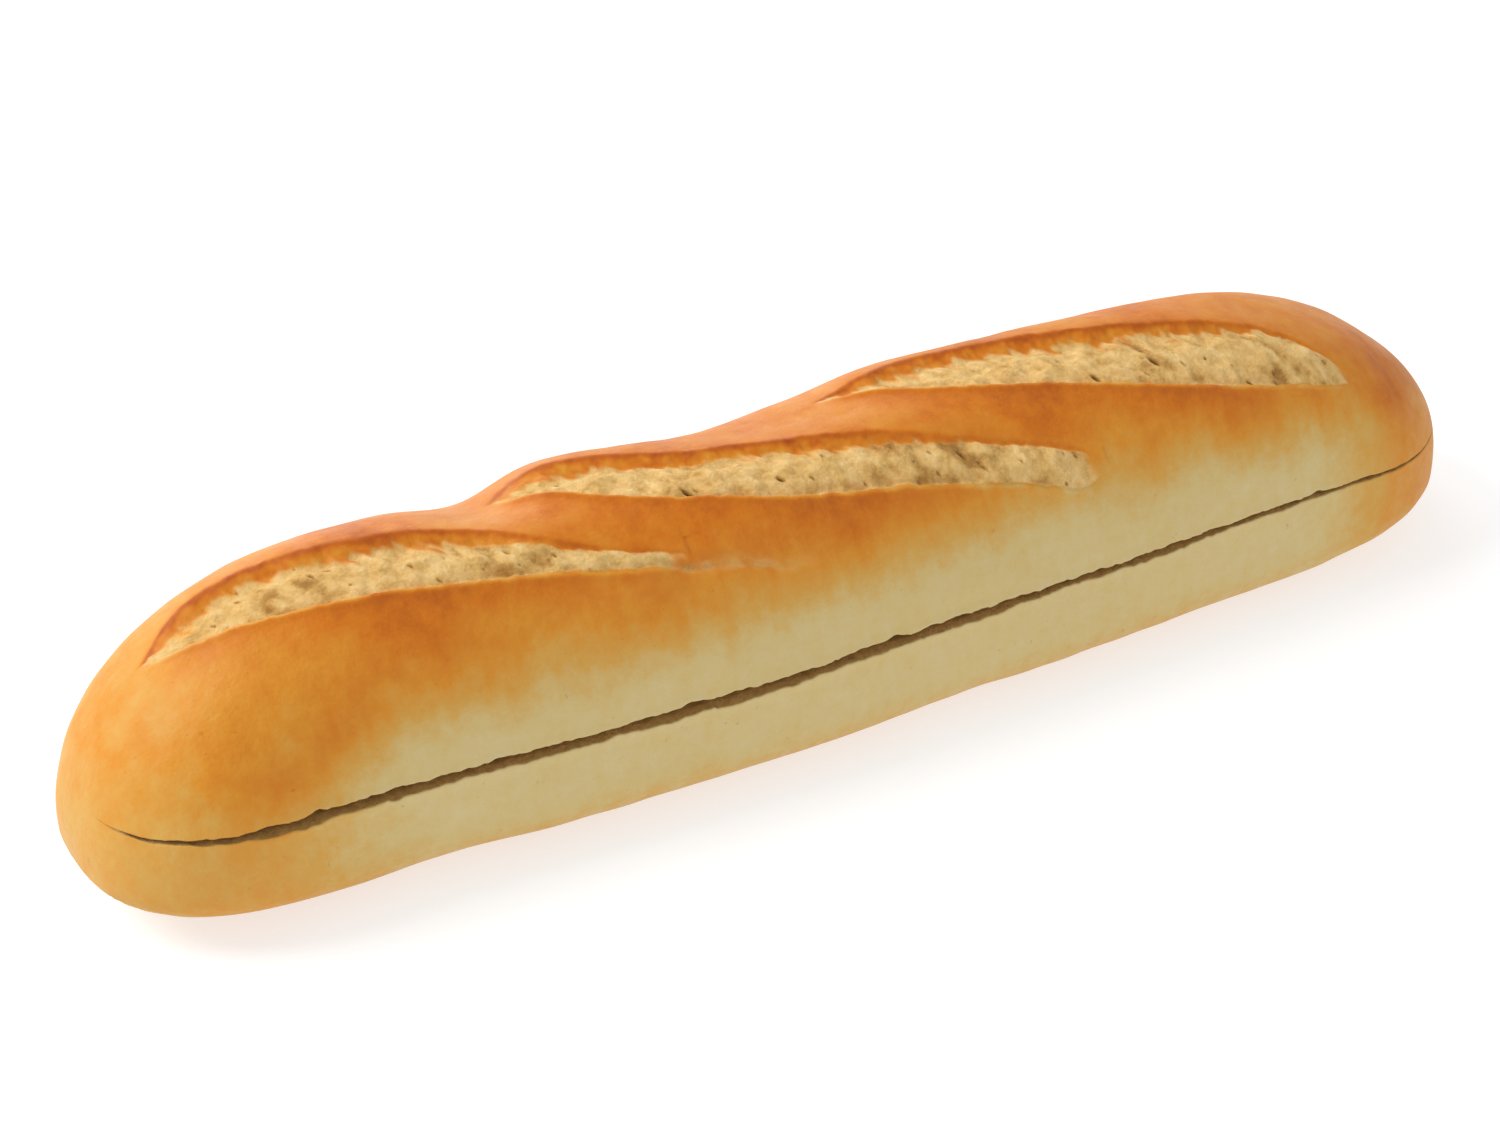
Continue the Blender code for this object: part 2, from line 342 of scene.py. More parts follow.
def crumbRelief(slash, x, arc):
    # torn crumb: lumps, fibres pulled across the slash, and pores. Returns its height, the painted shade
    # in the pores and crowded patches, and how far fibres and knobs stand out, for a painted highlight
    seed, form = slash["seed"], crumbForm
    along = x * 1.12
    flat = np.zeros_like(x)
    lumps = clouds(along, arc, flat, form["lumps"][0], seed)
    knobs = clouds(along + 0.3 * arc, arc, flat, form["knobs"][0], seed + 6)
    lean = 0.45 * arc + 1.5 * clouds(along, arc, flat, 4, seed + 5)
    fibres = 1 - 2.2 * np.abs(clouds(along + lean, arc * 0.30, flat, form["fibres"][0], seed + 2))
    threads = clouds(along + lean * 1.2, arc * 0.35, flat, form["threads"][0], seed + 3)
    threads = 1 - 2.2 * np.abs(threads)
    grains = clouds(along, arc, flat, form["grains"][0], seed + 4)
    crowd = form["poreShare"] + sum(form["crowding"] * np.exp(-(((x - place) / reach) ** 2))
                                    for place, reach in slash["pores"])
    pitAndShade = poresAt(along, arc, crowd, seed)
    height = form["lumps"][1] * lumps + form["knobs"][1] * knobs + form["fibres"][1] * fibres
    height = height + form["threads"][1] * threads + form["grains"][1] * grains
    height = height - form["poreDepth"] * pitAndShade
    # painted shade: darker patches where the pores crowd
    patches = clouds(along + 0.5 * arc, 0.6 * arc, flat, form["crowdShadeSize"], seed + 7)
    crowdShade = np.clip(crowd - 0.3, 0, 0.6) * smoothStep(-0.3, 0.9, patches)
    return height, np.maximum(pitAndShade, 0.75 * crowdShade), 0.5 * fibres + 0.6 * knobs


def slashForm(slash, f, torn):
    # height of the crust over the plain dome, and how far up the wall and the lip a point lies
    ends = smoothStep(0, 0.10, f["along"]) * smoothStep(1, 0.90, f["along"])
    fade = smoothStep(slash["fade"][1], slash["fade"][0], f["along"])
    room = np.clip(f["half"] / 3, 0, 1)
    outside, within = tear["earReach"]
    ear = slash["rise"] * smoothStep(0, 0.14, f["along"]) * (0.15 + 0.85 * fade)
    hump = ear * np.where(f["behind"] > 0, np.exp(-((f["behind"] / outside) ** 2)),
                          np.exp(-((f["behind"] / within) ** 2)))
    depth = slash["depth"] * ends * (0.3 + 0.7 * fade)
    across = np.clip(f["across"], -1, 1)
    inside = smoothStep(1.0, 0.75, np.abs(across))
    swell = slash["swell"] * ends * (1 - np.abs(across + 0.15) ** 2.2 / 1.3)
    crumb = -depth + np.maximum(swell, 0) + torn * ends * room * (0.45 + 0.55 * inside)
    bead = tear["bead"] * ends * np.exp(-(((f["before"] - 0.3) / tear["beadReach"]) ** 2))
    before = np.maximum(f["before"], 0)
    shoulder = tear["shoulder"] * ends * np.exp(-((before / tear["shoulderReach"]) ** 2))
    wallRun = slash["wall"] * (0.35 + 0.65 * fade) * room
    upWall = smoothStep(-1, 0, f["behind"] / np.maximum(wallRun, 0.1))
    upLip = smoothStep(-1.1, 0, f["before"])
    height = crumb + (hump - crumb) * upWall
    height = height + (bead + shoulder - height) * upLip
    height = np.where(f["before"] > 0, bead + shoulder, height)
    height = np.where(f["behind"] > 0, hump, height)
    return height, (ends, fade, wallRun, upWall, upLip)


def slashLooks(slash, f, x, arc, form):
    # where a slash shows crumb, a torn wall, a scorched or browned crust with painted shadow under the
    # ridge, and a pale lip painted as a highlight
    ends, fade, wallRun, upWall, upLip = form
    flat, seed = x * 0, slash["seed"]
    fray = layered(x + 0.5 * arc, arc * 0.5, flat, tear["fray"], seed)
    show = smoothStep(0, 0.03, f["along"]) * smoothStep(1, 0.95, f["along"] + 0.07 * fray)
    # the crust frays into the crumb only beside the wall
    nearWall = smoothStep(-1.7, -1.0, f["behind"] / np.maximum(wallRun, 0.1))
    pale = smoothStep(0.42, 0.06, upWall + fray * nearWall) * smoothStep(0.65, 0.3, upLip) * show
    wall = smoothStep(0.2, -0.3, f["behind"]) * smoothStep(0.0, 0.5, upWall) * show
    wander = clouds(x, arc, flat, 2.4, seed + 10)
    # painted shadow: the dark line just under the ridge stands for the overhang's shadow as well as
    # scorched crust
    scorchShadowReach = tear["scorchShadowReach"] + 0.2 * wander
    scorchAndShadow = np.exp(-(((f["behind"] + 0.55 + 0.2 * wander) / scorchShadowReach) ** 2))
    below = np.maximum(f["before"] - 0.9, 0) / tear["brownedReach"]
    under = np.exp(-(below ** 1.3)) * (f["before"] > 0.5)
    browned = tear["browned"] * under * ends * (0.2 + 0.8 * fade)
    broken = np.clip(0.45 + 0.8 * clouds(x, arc * 0.5, flat, 3.4, seed + 11), 0, 1)
    return {
        "crumb": pale,
        "toastAndShadow": np.maximum(scorchAndShadow * show * (0.2 + 0.8 * fade), browned),
        "wall": wall * (0.3 + 0.7 * fade),
        # painted highlight: a pale line along the front lip's edge
        "lip": ends * broken * np.exp(-((f["before"] / tear["lipHighlightReach"]) ** 2)),
    }


def tailLine(x, arc):
    # the shallow scratch in which the first slash runs out
    (x0, arc0), (x1, arc1) = tail["start"], tail["end"]
    along = (x - x0) / (x1 - x0)
    offset = arc - (arc0 + (arc1 - arc0) * along) - 0.4 * np.sin(x / 2.3)
    across = np.exp(-((offset / tail["halfWidth"]) ** 2))
    return smoothStep(-0.1, 0.1, along) * smoothStep(1, 0.6, along) * across


def slashRelief(x, arc):
    relief = np.zeros_like(x)
    masks = {name: np.zeros_like(x) for name in ("crumb", "pitAndShade", "toastAndShadow", "wall", "lip", "fibreHighlight")}
    for slash in slashes:
        field = slashField(slash, x, arc)
        pick = np.flatnonzero(field["in"] & (field["behind"] < 24) & (field["before"] < 16))
        f = {name: values[pick] for name, values in field.items()}
        torn, pitAndShade, fibreHighlight = crumbRelief(slash, x[pick], arc[pick])
        height, form = slashForm(slash, f, torn)
        relief[pick] += height
        looks = slashLooks(slash, f, x[pick], arc[pick], form)
        # painted shade in the pores, where crumb shows
        looks["pitAndShade"] = pitAndShade * looks["crumb"]
        for name, values in looks.items():
            masks[name][pick] = np.maximum(masks[name][pick], values)
        # painted highlight: raised fibres and knobs make the crumb lighter
        masks["fibreHighlight"][pick] += fibreHighlight * looks["crumb"]
    line = tailLine(x, arc)
    relief -= tail["depth"] * line
    patchy = np.clip(0.5 + 0.7 * clouds(x, arc, x * 0, 2.0, 61), 0.1, 0.9)
    masks["crumb"] = np.maximum(masks["crumb"], patchy * line)
    return relief, masks


# --- how brown the crust is, from 0, pale dough, to 1, deep brown

# Heights and places in mm. Layers of noise are given as (size, amount, seed, stretch upwards)
baking = {
    "pale": 0.10,
    "browning": 0.62,
    "band": (25, 47),  # heights between which the front browns
    "drift": ((24, 2.4, 31, 0.5), (6, 1.3, 32, 0.3), (2.2, 0.8, 36, 0.15)),
    "leftEnd": (-80, -112),  # where each end takes over from the body, and how far the band drops
    "leftDrop": (11, 15),
    "rightEnd": (86, 118),
    "rightDrop": (9, 13),
    "leftHalfDrop": 2.5,
    "golden": (0.41, 0.09, 0.88),  # even tone of the -X tip, what height adds, and its share
    "tray": (0.52, 0.36),  # of the line round the foot: wide and soft, then thin
    "wall": 0.68,  # the torn walls of the slashes
    "toastAndShadow": 0.74,  # share by which the scorched crust and its painted shadow under the ridge are darker
    "lip": 0.22,  # what the pale lip takes off, as a painted highlight along its edge
}


def crustBake(x, points):
    z = points[:, 2]
    flat = np.zeros_like(x)
    drift = sum(amount * clouds(x, flat, z * stretch, size, seed)
                for size, amount, seed, stretch in baking["drift"])
    left, right = smoothStep(*baking["leftEnd"], x), smoothStep(*baking["rightEnd"], x)
    lower = baking["leftHalfDrop"] * smoothStep(-10, -45, x)
    low, high = (edge - lower - ofLeft * left - ofRight * right for edge, ofLeft, ofRight
                 in zip(baking["band"], baking["leftDrop"], baking["rightDrop"]))
    rise = smoothStep(low, high, z + drift)
    back = smoothStep(8, 34, z + drift)
    front = smoothStep(3, -3, points[:, 1])
    rise = rise * front + (0.25 + 0.75 * back) * (1 - front)
    bake = baking["pale"] + (baking["browning"] - 0.15 * left) * rise
    bake = np.maximum(bake, 0.12 + 0.26 * left + 0.45 * right * smoothStep(2, 14, z + drift))
    tone, fromHeight, share = baking["golden"]
    golden = share * smoothStep(-98, -122, x)
    bake += (tone + fromHeight * rise - bake) * golden
    patches = 0.09 * clouds(x, flat, z, 15, 33) + 0.05 * clouds(x, points[:, 1], z, 4.5, 34)
    bake += patches * (0.3 + 0.7 * rise)
    # browned line where the loaf stood on its tray
    lift = baseShape(x)[2]
    fromTray = z - lift + 0.5 * clouds(x, flat, flat, 5, 37)
    wide, thin = baking["tray"]
    bottom = wide * smoothStep(13, 3, fromTray) + thin * smoothStep(4, 1.2, fromTray)
    return bake + (0.52 - bake) * (bottom * smoothStep(6, 2, lift))


def slashBake(bake, x, arc, masks):
    # the torn walls, scorched ears with painted shadow under the ridge, and pale lips painted as a
    # highlight over that
    flat = np.zeros_like(x)
    wall = baking["wall"] + 0.12 * clouds(x, arc, flat, 2.2, 62) + 0.08 * clouds(x, arc, flat, 0.9, 63)
    bake = bake + (wall - bake) * masks["wall"]
    # darkens the scorched and browned crust, and paints the shadow under each ridge
    bake = bake + (1 - bake) * baking["toastAndShadow"] * masks["toastAndShadow"]
    # paints the highlight along each lip
    return bake - baking["lip"] * masks["lip"]


def rowPlan():
    # one entry for each row round the loaf: which part it lies on, and where on it
    plain, beside = mesh["under"]
    edge = 1 - mesh["beside"]
    rows = [("under", share) for share in np.linspace(0, edge, plain, endpoint=False)]
    rows += [("under", share) for share in np.linspace(edge, 1, beside)]
    rows += [("cut", share - 1) for share in mesh["cut"]]
    rows += [("cut", 0)]
    rows += [("cut", 1 - share) for share in reversed(mesh["cut"])]
    beside, plain = mesh["front"]
    rows += [("front", share) for share in np.linspace(1, edge, beside, endpoint=False)]
    rows += [("front", share) for share in np.linspace(edge, 0, plain, endpoint=False)]
    fine, plain = mesh["back"]
    rows += [("back", share) for share in np.linspace(0, mesh["backBreak"], fine, endpoint=False)]
    rows += [("back", share) for share in np.linspace(mesh["backBreak"], 1, plain, endpoint=False)]
    return rows


def stationPlaces():
    # x of each ring: even along the body and closer at the tips
    even = np.linspace(-1, 1, 4001)
    spacing = np.clip((1 - np.abs(even)) * loaf["length"] / 2 / 14, 0.06, 1) ** 0.6
    count = np.concatenate([[0], np.cumsum(1 / spacing[1:])])
    return np.interp(np.linspace(0, count[-1], mesh["stations"] + 1), count, even) * loaf["length"] / 2


placeNames = ("alongLoaf", "arcPlace", "inCut", "wallPlace", "mouthArc")


def readValues(shape, name):
    values = np.zeros(len(shape.vertices))
    shape.attributes[name].data.foreach_get("value", values)
    return values


def writeValues(shape, values):
    for name, each in values.items():
        layer = shape.attributes.new(name, "FLOAT", "POINT")
        layer.data.foreach_set("value", each.astype(np.float32))


def layOutRows(sphere):
    # gives every vertex of the ball its place on the loaf, as attributes
    stations, rows = stationPlaces(), rowPlan()
    cutArc, baseArc, backArc = [], [], []
    for x in stations:
        zs, arcs = outline(np.clip(x, *cut["span"]))[1:]
        front = slice(len(arcs) // 2 - mesh["quarterPoints"] + 1, len(arcs) // 2)
        share = np.interp(cutHeight(np.clip(x, *cut["span"])), zs[front], arcs[front]) / arcs[0]
        arcs = outline(x)[2]
        cutArc.append(arcs[0] * share)
        baseArc.append(arcs[0])
        backArc.append(arcs[-1])
    count = len(sphere.vertices)
    co = np.zeros(count * 3)
    sphere.vertices.foreach_get("co", co)
    co = co.reshape(-1, 3)
    ring = np.round(np.arccos(np.clip(-co[:, 2], -1, 1)) / np.pi * mesh["stations"]).astype(int)
    row = np.round(np.arctan2(co[:, 1], co[:, 0]) / (2 * np.pi) * len(rows)).astype(int) % len(rows)
    x = stations[ring]
    gap = cutGap(x) / 2
    mouth, base, back = np.array(cutArc)[ring], np.array(baseArc)[ring], np.array(backArc)[ring]
    kind = np.array([("under", "cut", "front", "back").index(part) for part, share in rows])[row]
    share = np.array([share for part, share in rows])[row]
    arc = np.select([kind == 0, kind == 1, kind == 2],
                    [base + (mouth - gap - base) * share, mouth, (mouth + gap) * share], back * share)
    wall = np.where(kind == 1, share, np.where(kind == 0, -1, 1))
    writeValues(sphere, dict(zip(placeNames, (x, arc, kind == 1, wall, mouth))))


def refine(wanted, cuts):
    # subdivides the faces that wanted(x, arc, inCut) picks
    bpy.ops.object.mode_set(mode="EDIT")
    bpy.ops.mesh.select_mode(type="FACE")
    bpy.ops.mesh.select_all(action="DESELECT")
    shell = bmesh.from_edit_mesh(bpy.context.object.data)
    layers = [shell.verts.layers.float[name] for name in placeNames[:3]]
    faces = list(shell.faces)
    middles = np.array([[sum(v[layer] for v in face.verts) / len(face.verts) for layer in layers]
                        for face in faces])
    for face, choose in zip(faces, wanted(*middles.T)):
        arcs = [v[layers[1]] for v in face.verts]
        # under the base both ends of the arc meet, and those faces stay whole
        face.select_set(bool(choose) and max(arcs) - min(arcs) < 8)
    bmesh.update_edit_mesh(bpy.context.object.data)
    bpy.ops.mesh.subdivide(number_cuts=cuts, smoothness=0)
    bpy.ops.object.mode_set(mode="OBJECT")


def inSlash(x, arc, inCut):
    chosen = np.zeros(len(x), bool)
    for slash in slashes:
        places, back, lip = slashEdges(slash, x)
        beside = (arc < back + 2.0) & (arc > lip - 1.8)
        chosen |= (x > places[0] - 1) & (x < places[-1] + 1) & beside
    return chosen & (inCut < 0.01)


def nearCut(x, arc, inCut):
    height = onDome(x, arc)[:, 2]
    mouth = (np.abs(height - cutHeight(x)) < 2.4) & (arc < 0) & (arc > -70)
    return ((inCut > 0.3) | mouth) & (np.abs(x) < 132)


def settle(x, points):
    # bends the loaf back a little, slims its front, lifts the foot of it and dips the crown
    def swellAt(key):
        place, reach, size = key
        return size * np.exp(-(((x - place) / reach) ** 2))

    points = points.copy()
    y, z = points[:, 1], points[:, 2]
    foot = smoothStep(-15.5, -25, y) * smoothStep(16, 3, z)
    points[:, 2] = z + swellAt(loaf["liftedFoot"]) * foot
    for dip in loaf["dips"]:
        points[:, 2] -= swellAt(dip) * smoothStep(22, 48, z) * smoothStep(-12, 6, y)
    points[:, 1] = np.where(y < 0, y * (1 - swellAt(loaf["slimFront"])), y) + swellAt(loaf["bend"])
    return points


def shapeLoaf(shape):
    x, arc, inCut, wall, mouth = (readValues(shape, name) for name in placeNames)
    x = np.clip(x, -loaf["length"] / 2, loaf["length"] / 2)
    inner = inCut > 0.01
    side = np.where(wall < 0, -1.0, 1.0)
    gap = cutGap(x)
    openShare = gap / cut["gap"]
    # the walls start on the edges of the mouth
    arc = np.where(inner, mouth + side * gap / 2, arc)
    ragged = np.zeros_like(x)
    for sign in (-1.0, 1.0):
        pick = side == sign
        ragged[pick] = cutRagged(x[pick], np.full(pick.sum(), sign)) * sign

    # crust: the mouth's edges wander, then the relief lifts it along its normals
    fromMouth = np.where(inner, 0, np.maximum(np.abs(arc - mouth) - gap / 2, 0))
    near = np.exp(-((fromMouth / 1.6) ** 2))
    level = onDome(x, arc + ragged * near)
    normals = domeNormals(level)
    relief, masks = slashRelief(x, arc)
    y, z = level[:, 1], level[:, 2]
    slow = loaf["swell"] * clouds(x, y, z, 24, 41) + loaf["ripple"] * clouds(x, y, z, 7, 42)
    calm = smoothStep(0.3, 3.5, z)
    curl = cut["curl"] * np.exp(-((fromMouth / 1.1) ** 2)) * openShare
    points = level + normals * (relief + slow * calm * (1 - masks["crumb"]) + curl)[:, None]
    points[:, 2] = np.maximum(points[:, 2], 0)

    # walls of the cut, from the mouth to the hinge
    xi, si, edge = x[inner], side[inner], points[inner]
    open = smoothStep(0, 0.25, openShare[inner])
    deep = np.clip(1 - np.abs(wall[inner]), 0, 1)
    run = deep * np.maximum(cut["hinge"] - edge[:, 1], 0) * open
    hinge = onDome(xi, mouth[inner])[:, 2]
    rough = layered(xi, run, si * 5, cut["wallRelief"])
    close = smoothStep(0, 0.12, deep) * 0.35 + 0.65 * deep
    points[inner, 1] = edge[:, 1] + run
    points[inner, 2] = edge[:, 2] + (hinge - edge[:, 2]) * close * open
    points[inner, 2] += rough * np.minimum(deep * 8, 1) * (1 - deep) * open

    bake = slashBake(crustBake(x, points), x, arc, masks)
    points = settle(x, points)
    looks = {"bake": bake, "crumb": masks["crumb"], "pitAndShade": masks["pitAndShade"], "fibreHighlight": masks["fibreHighlight"],
             "inside": np.zeros_like(x)}
    looks["inside"][inner] = open * smoothStep(0, 0.02, deep)
    writeValues(shape, looks)
    for name in placeNames:
        shape.attributes.remove(shape.attributes[name])
    shape.vertices.foreach_set("co", (points * mm).ravel())


def fitToBox(shape):
    # the finished crust fills the measured box and never leaves it
    co = np.zeros(len(shape.vertices) * 3)
    shape.vertices.foreach_get("co", co)
    co = co.reshape(-1, 3)
    low, high = np.array(cadBox[0]), np.array(cadBox[1])
    own = co.min(axis=0), co.max(axis=0)
    co = low + (co - own[0]) * (high - low) / (own[1] - own[0])
    shape.vertices.foreach_set("co", co.ravel())
    shape.update()


def makeLoaf():
    bpy.ops.object.select_all(action="DESELECT")
    bpy.ops.mesh.primitive_uv_sphere_add(segments=len(rowPlan()), ring_count=mesh["stations"], radius=1)
    piece = bpy.context.object
    piece.name = "baguetteLoaf"
    layOutRows(piece.data)
    refine(nearCut, mesh["lipCuts"])
    refine(inSlash, mesh["slashCuts"])
    shapeLoaf(piece.data)
    bpy.ops.object.mode_set(mode="EDIT")
    bpy.ops.mesh.select_all(action="SELECT")
    bpy.ops.mesh.remove_doubles(threshold=0.0005 * mm)
    bpy.ops.mesh.normals_make_consistent(inside=False)
    bpy.ops.object.mode_set(mode="OBJECT")
    fitToBox(piece.data)
    bpy.ops.object.shade_smooth()
    faces = sum(len(face.vertices) - 2 for face in piece.data.polygons)
    print("loaf:", len(piece.data.vertices), "vertices,", faces, "triangles")
    return piece


# --- materials

def nodeMaker(material):
    material.use_nodes = True
    tree = material.node_tree
    tree.nodes.clear()

    def add(kind, inputs=(), **settings):
        node = tree.nodes.new(kind)
        for name, value in settings.items():
            setattr(node, name, value)
        for name, value in dict(inputs).items():
            if isinstance(value, bpy.types.NodeSocket):
                tree.links.new(value, node.inputs[name])
            else:
                node.inputs[name].default_value = value
        return node

    return add


def srgb(red, green, blue):
    def linear(value):
        value /= 255
        return value / 12.92 if value <= 0.04045 else ((value + 0.055) / 1.055) ** 2.4
    return (linear(red), linear(green), linear(blue), 1)


crustLook = {
    "bakes": ((0.00, (207, 189, 140)), (0.18, (205, 180, 118)), (0.36, (206, 158, 74)),
              (0.56, (209, 137, 36)), (0.76, (200, 111, 10)), (1.00, (160, 66, 2))),
    "specks": (150, 84, 30),
    "crumbs": ((0.0, (116, 84, 38)), (0.32, (184, 134, 66)),
               (0.58, (226, 182, 108)), (0.85, (245, 208, 142))),
    # crumb inside the cut, darkened as painted shade
    "shadedCutCrumbs": ((0.25, (164, 120, 58)), (0.75, (208, 166, 98))),
    "patches": 0.30,  # how far paler and browner patches, and streaks, move the tone
    "streaks": 0.16,
    "fibres": 0.09,  # how much the painted highlight lightens raised threads and knobs, and painted shade darkens the pores
    "pores": 0.75,
    "skinBump": 0.32,
    "crumbBump": 0.75,
    "roughness": (0.46, 0.62),
    "crumbRoughness": 0.42,  # added where crumb shows
    "ior": 1.40,
    "specular": 0.34,
    "sheen": 0.10,
    "sheenRoughness": 0.45,
    "sheenTint": (1.0, 0.86, 0.60, 1),
}


def makeBreadMaterial():
    material = bpy.data.materials.new("bakedBread")
    add = nodeMaker(material)
    place = add("ShaderNodeTexCoord").outputs["Object"]
    get = lambda name: add("ShaderNodeAttribute", attribute_name=name).outputs["Fac"]
    bake, crumb, pitAndShade, fibreHighlight, inside = (get(name) for name in ("bake", "crumb", "pitAndShade", "fibreHighlight", "inside"))

    def math2(operation, a, b):
        return add("ShaderNodeMath", {0: a, 1: b}, operation=operation).outputs[0]

    def grain(scale, detail=2.0, rough=0.5, stretch=None):
        where = place
        if stretch:
            where = add("ShaderNodeMapping", {"Vector": place, "Scale": stretch}).outputs[0]
        return add("ShaderNodeTexNoise", {"Vector": where, "Scale": scale, "Detail": detail,
                                          "Roughness": rough}).outputs["Fac"]

    def ramp(value, stops):
        node = add("ShaderNodeValToRGB", {"Fac": value})
        steps = node.color_ramp.elements
        while len(steps) < len(stops):
            steps.new(1)
        for step, (at, colour) in zip(steps, stops):
            step.position = at
            step.color = srgb(*colour)
        return node.outputs["Color"]

    def mix(share, a, b, blend="MIX"):
        node = add("ShaderNodeMix", data_type="RGBA", blend_type=blend)
        for socket, value in zip((node.inputs[0], node.inputs[6], node.inputs[7]), (share, a, b)):
            if isinstance(value, bpy.types.NodeSocket):
                material.node_tree.links.new(value, socket)
            else:
                socket.default_value = value
        return node.outputs[2]

    # crust: browner and paler patches, streaks down the sides and a few dark specks
    patches = math2("MULTIPLY", math2("SUBTRACT", grain(380, 5, 0.7), 0.5), crustLook["patches"])
    drawn = grain(420, 3, 0.6, (1, 0.4, 0.3))
    streaks = math2("MULTIPLY", math2("SUBTRACT", drawn, 0.5), crustLook["streaks"])
    brown = math2("ADD", bake, math2("ADD", patches, streaks))
    crustColour = ramp(brown, crustLook["bakes"])
    specks = add("ShaderNodeMapRange", {"Value": grain(900, 1, 0.4), "From Min": 0.74, "From Max": 0.84,
                                        "To Max": 0.3}).outputs[0]
    crustColour = mix(specks, crustColour, srgb(*crustLook["specks"]))

    # crumb: painted highlight on raised threads and knobs, painted shade in the pores
    mottle = math2("ADD", math2("MULTIPLY", grain(280, 3, 0.6), 0.7),
                   math2("MULTIPLY", grain(900, 4, 0.7), 0.55))
    light = math2("ADD", math2("MULTIPLY", fibreHighlight, crustLook["fibres"]), math2("ADD", mottle, 0.01))
    light = math2("SUBTRACT", light, math2("MULTIPLY", pitAndShade, crustLook["pores"]))
    crumbColour = ramp(light, crustLook["crumbs"])
    # painted shade: the crumb inside the cut is darker than the open crumb
    shadedCutColour = ramp(grain(900, 4, 0.7), crustLook["shadedCutCrumbs"])
    colour = mix(crumb, crustColour, crumbColour)
    colour = mix(inside, colour, shadedCutColour)

    # fine relief
    blisters = add("ShaderNodeTexVoronoi", {"Vector": place, "Scale": 520.0, "Randomness": 1.0},
                   feature="SMOOTH_F1").outputs["Distance"]
    skin = math2("ADD", math2("MULTIPLY", grain(1300, 4, 0.6), 0.7), math2("MULTIPLY", blisters, 0.5))
    openCrumb = math2("MAXIMUM", crumb, inside)
    torn = grain(1900, 6, 0.72)
    crustBump = add("ShaderNodeBump", {"Height": skin, "Strength": crustLook["skinBump"],
                                       "Distance": 0.0006})
    strength = math2("MULTIPLY", openCrumb, crustLook["crumbBump"])
    crumbBump = add("ShaderNodeBump", {"Height": torn, "Strength": strength, "Distance": 0.0007,
                                       "Normal": crustBump.outputs[0]})
    gloss = add("ShaderNodeMapRange", {"Value": grain(240, 3, 0.6), "From Min": 0.3, "From Max": 0.7,
                                       "To Min": crustLook["roughness"][0],
                                       "To Max": crustLook["roughness"][1]}).outputs[0]
    rough = math2("ADD", gloss, math2("MULTIPLY", openCrumb, crustLook["crumbRoughness"]))
    shader = add("ShaderNodeBsdfPrincipled", {"Base Color": colour, "Roughness": rough,
                                              "Normal": crumbBump.outputs[0]})
    shader.inputs["IOR"].default_value = crustLook["ior"]
    shader.inputs["Specular IOR Level"].default_value = crustLook["specular"]
    shader.inputs["Sheen Weight"].default_value = crustLook["sheen"]
    shader.inputs["Sheen Roughness"].default_value = crustLook["sheenRoughness"]
    shader.inputs["Sheen Tint"].default_value = crustLook["sheenTint"]
    add("ShaderNodeOutputMaterial", {"Surface": shader.outputs[0]})
    return material


floorLook = {"size": 12, "tone": 0.46, "glow": 0.62, "specular": 0.1, "roughness": (0.85, 0.95)}


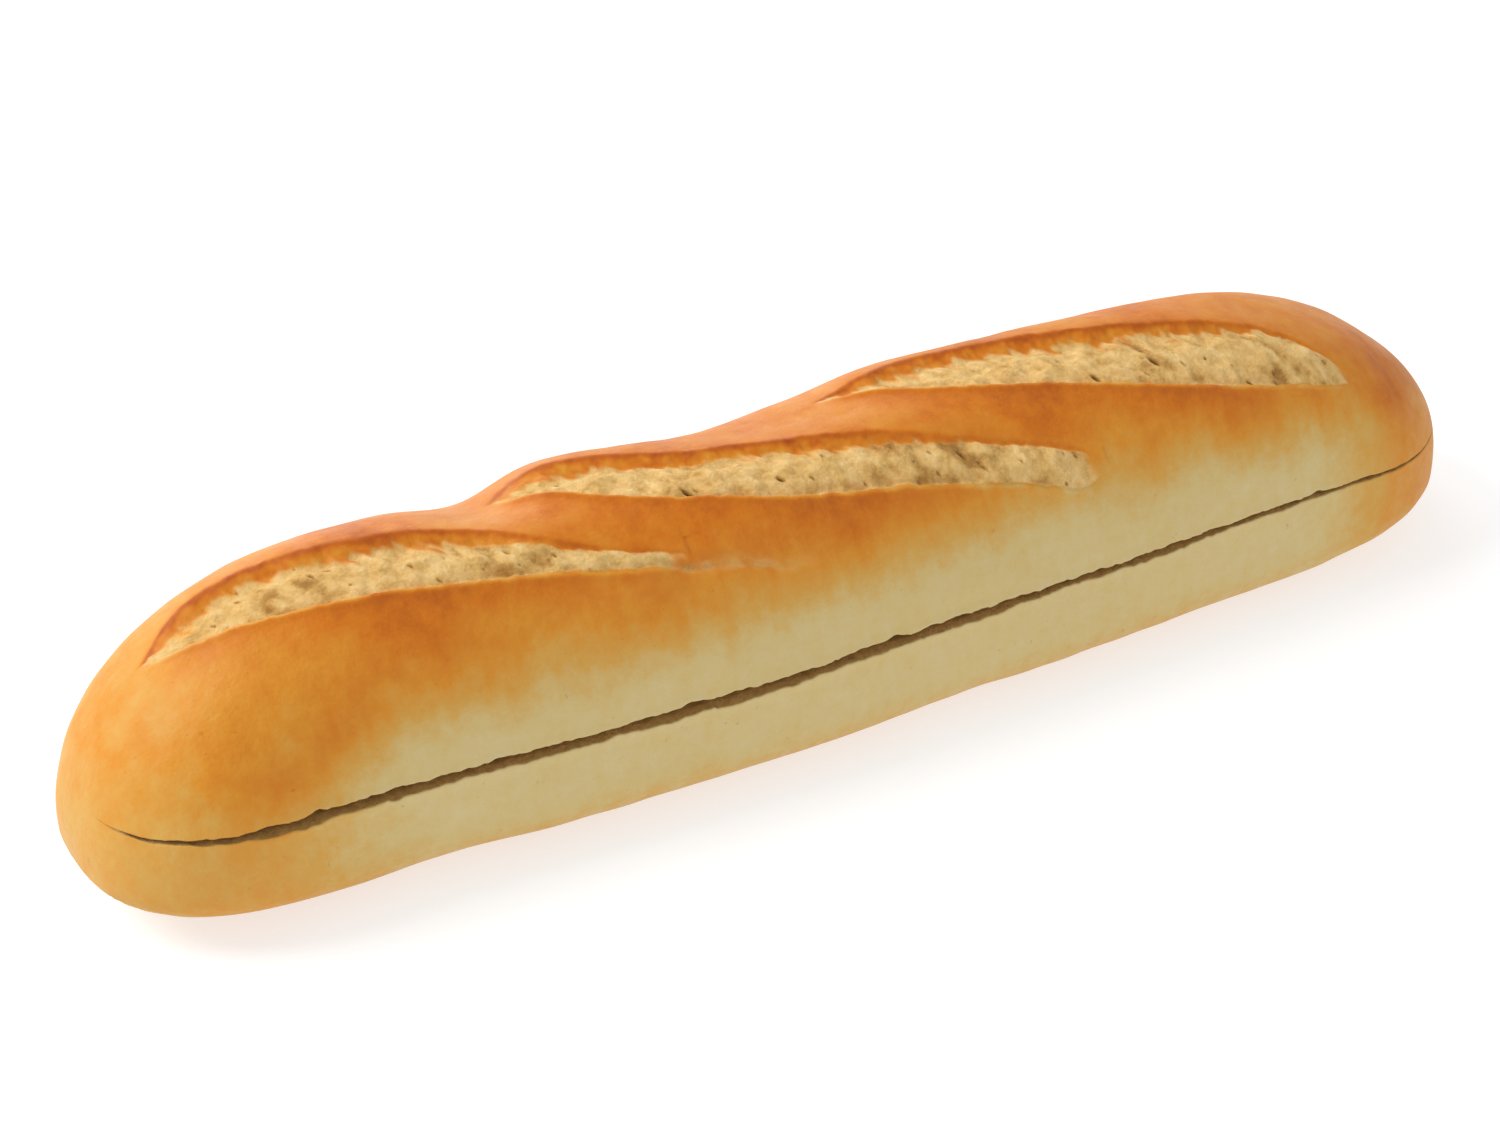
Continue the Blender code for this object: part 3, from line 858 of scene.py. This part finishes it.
def makeFloor():
    bpy.ops.object.select_all(action="DESELECT")
    bpy.ops.mesh.primitive_plane_add(size=floorLook["size"], location=(0, 0, 0))
    floor = bpy.context.object
    floor.name = "studioFloor"
    material = bpy.data.materials.new("paleFloor")
    add = nodeMaker(material)
    place = add("ShaderNodeTexCoord").outputs["Object"]
    tone = add("ShaderNodeTexNoise", {"Vector": place, "Scale": 3.0}).outputs["Fac"]
    rough = add("ShaderNodeMapRange", {"Value": tone, "To Min": floorLook["roughness"][0],
                                       "To Max": floorLook["roughness"][1]}).outputs[0]
    shader = add("ShaderNodeBsdfPrincipled", {"Roughness": rough})
    shader.inputs["Base Color"].default_value = (*[floorLook["tone"]] * 3, 1)
    shader.inputs["Specular IOR Level"].default_value = floorLook["specular"]
    shader.inputs["Emission Color"].default_value = (1, 1, 1, 1)
    shader.inputs["Emission Strength"].default_value = floorLook["glow"]
    add("ShaderNodeOutputMaterial", {"Surface": shader.outputs[0]})
    floor.data.materials.append(material)
    return floor


# --- light and camera

lights = {
    "key": {"at": (-0.95, 0.50, 1.05), "size": 0.8, "power": 16.5},
    "fill": {"at": (0.35, -1.2, 0.75), "size": 1.2, "power": 2.5},
    "behind": {"at": (0.1, 1.3, 0.55), "size": 1.3, "power": 9.5},
}
room = {"colour": (1.0, 1.0, 1.0), "strength": 0.58}


def makeLights():
    for name, light in lights.items():
        bpy.ops.object.light_add(type="AREA", location=light["at"])
        lamp = bpy.context.object
        lamp.name = name
        lamp.data.shape = "DISK"
        lamp.data.size = light["size"]
        lamp.data.energy = light["power"]
        lamp.rotation_euler = (-Vector(light["at"])).to_track_quat("-Z", "Y").to_euler()
    world = bpy.data.worlds.new("studio")
    world.use_nodes = True
    shader = world.node_tree.nodes["Background"]
    shader.inputs["Color"].default_value = (*room["colour"], 1)
    shader.inputs["Strength"].default_value = room["strength"]
    bpy.context.scene.world = world
    bpy.context.scene.view_settings.view_transform = "Standard"


camera = {
    "turn": 30.1,  # degrees from straight in front, towards -X
    "height": 32.95,
    "distance": 0.5014,
    "lens": 68.7,
    "aim": (0, 0, 0.0258),
    "shift": (-0.040, -0.0143),
    "sensor": 36,
    "clipStart": 0.01,
}


def makeCamera():
    turn, height = math.radians(camera["turn"]), math.radians(camera["height"])
    way = Vector((-math.sin(turn) * math.cos(height), -math.cos(turn) * math.cos(height),
                  math.sin(height)))
    bpy.ops.object.camera_add(location=Vector(camera["aim"]) + way * camera["distance"])
    eye = bpy.context.object
    eye.rotation_euler = (-way).to_track_quat("-Z", "Y").to_euler()
    eye.data.lens = camera["lens"]
    eye.data.sensor_width = camera["sensor"]
    eye.data.shift_x, eye.data.shift_y = camera["shift"]
    eye.data.clip_start = camera["clipStart"]
    bpy.context.scene.camera = eye


print("shaping the loaf")
breadPiece = makeLoaf()
breadPiece.data.materials.append(makeBreadMaterial())
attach(breadPiece, "root")
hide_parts("loaf")
print("floor, lights and camera")
makeFloor()
makeLights()
makeCamera()
